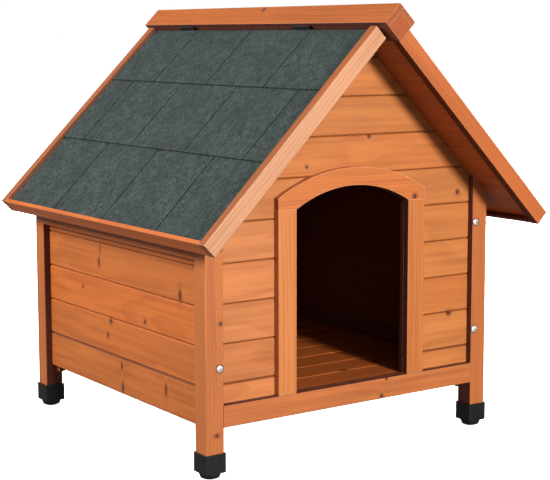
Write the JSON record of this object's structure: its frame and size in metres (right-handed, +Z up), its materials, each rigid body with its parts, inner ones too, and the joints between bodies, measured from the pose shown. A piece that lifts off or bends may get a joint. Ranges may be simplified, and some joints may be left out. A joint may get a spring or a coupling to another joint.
{
  "type": "dog house",
  "caption": "Pine dog house on levelling feet, with match-boarded walls, an arched doorway and a pitched felt roof whose left half hinges open at the ridge.",
  "frame": {"origin": "on the ground, under the middle of the whole house", "axes": "+Z up, the doorway looks towards -Y, +X to the right of someone who faces the doorway"},
  "size_m": [0.7238, 0.776, 0.77],
  "materials": {
    "frame_timber": "satin honey glaze",
    "wall_boards": "satin honey glaze",
    "inner_timber": "sawn, lightly glazed",
    "floor_boards": "satin honey glaze",
    "roof_timber": "satin honey glaze",
    "roof_felt": "mineral granules on bitumen",
    "foot_plastic": "fine grain, black",
    "fittings": "dark bronze lacquer"
  },
  "bodies": {
    "house": {"corner_batten_front_left": "inner_timber", "corner_batten_front_right": "inner_timber", "corner_batten_rear_left": "inner_timber", "corner_batten_rear_right": "inner_timber", "door_head": "frame_timber", "door_jamb_left": "frame_timber", "door_jamb_right": "frame_timber", "floor_bearer_left": "inner_timber", "floor_bearer_middle": "inner_timber", "floor_bearer_right": "inner_timber", "floor_boards": "floor_boards", "foot_cap_front_left": "foot_plastic", "foot_cap_front_right": "foot_plastic", "foot_cap_rear_left": "foot_plastic", "foot_cap_rear_right": "foot_plastic", "front_apron_board": "wall_boards", "front_boards_left": "wall_boards", "front_boards_right": "wall_boards", "front_gable_boards": "wall_boards", "front_sill": "frame_timber", "gable_batten_front_left": "inner_timber", "gable_batten_front_right": "inner_timber", "gable_batten_rear_left": "inner_timber", "gable_batten_rear_right": "inner_timber", "hinge_front_fixed_leaf": "fittings", "hinge_front_pin": "fittings", "hinge_rear_fixed_leaf": "fittings", "hinge_rear_pin": "fittings", "post_front_left": "frame_timber", "post_front_right": "frame_timber", "post_rear_left": "frame_timber", "post_rear_right": "frame_timber", "rear_boards": "wall_boards", "rear_sill": "frame_timber", "ridge_bar": "roof_timber", "ridge_cap_left": "roof_timber", "ridge_cap_right": "roof_timber", "roof_right_barge_front": "roof_timber", "roof_right_barge_rear": "roof_timber", "roof_right_batten": "inner_timber", "roof_right_deck": "inner_timber", "roof_right_eave_board": "roof_timber", "roof_right_felt": "roof_felt", "side_boards_left": "wall_boards", "side_boards_right": "wall_boards", "side_top_rail_left": "frame_timber", "side_top_rail_right": "frame_timber"},
    "roof_left": {"hinge_front_moving_leaf": "fittings", "hinge_rear_moving_leaf": "fittings", "roof_left_barge_front": "roof_timber", "roof_left_barge_rear": "roof_timber", "roof_left_batten": "inner_timber", "roof_left_deck": "inner_timber", "roof_left_eave_board": "roof_timber", "roof_left_felt": "roof_felt"},
    "foot_front_left": {"levelling_foot_front_left": "foot_plastic"},
    "foot_front_right": {"levelling_foot_front_right": "foot_plastic"},
    "foot_rear_left": {"levelling_foot_rear_left": "foot_plastic"},
    "foot_rear_right": {"levelling_foot_rear_right": "foot_plastic"}
  },
  "joints": [
    {"name": "roof_left_hinge", "type": "hinge", "parent": "house", "child": "roof_left", "pos_m": [-0.02896, 0, 0.73404], "axis": [0, 1, 0], "range_deg": [0, 95]},
    {"name": "foot_front_left_slide", "type": "slide", "parent": "house", "child": "foot_front_left", "axis": [0, 0, -1], "range_m": [0, 0.012]},
    {"name": "foot_front_right_slide", "type": "slide", "parent": "house", "child": "foot_front_right", "axis": [0, 0, -1], "range_m": [0, 0.012]},
    {"name": "foot_rear_left_slide", "type": "slide", "parent": "house", "child": "foot_rear_left", "axis": [0, 0, -1], "range_m": [0, 0.012]},
    {"name": "foot_rear_right_slide", "type": "slide", "parent": "house", "child": "foot_rear_right", "axis": [0, 0, -1], "range_m": [0, 0.012]}
  ]
}
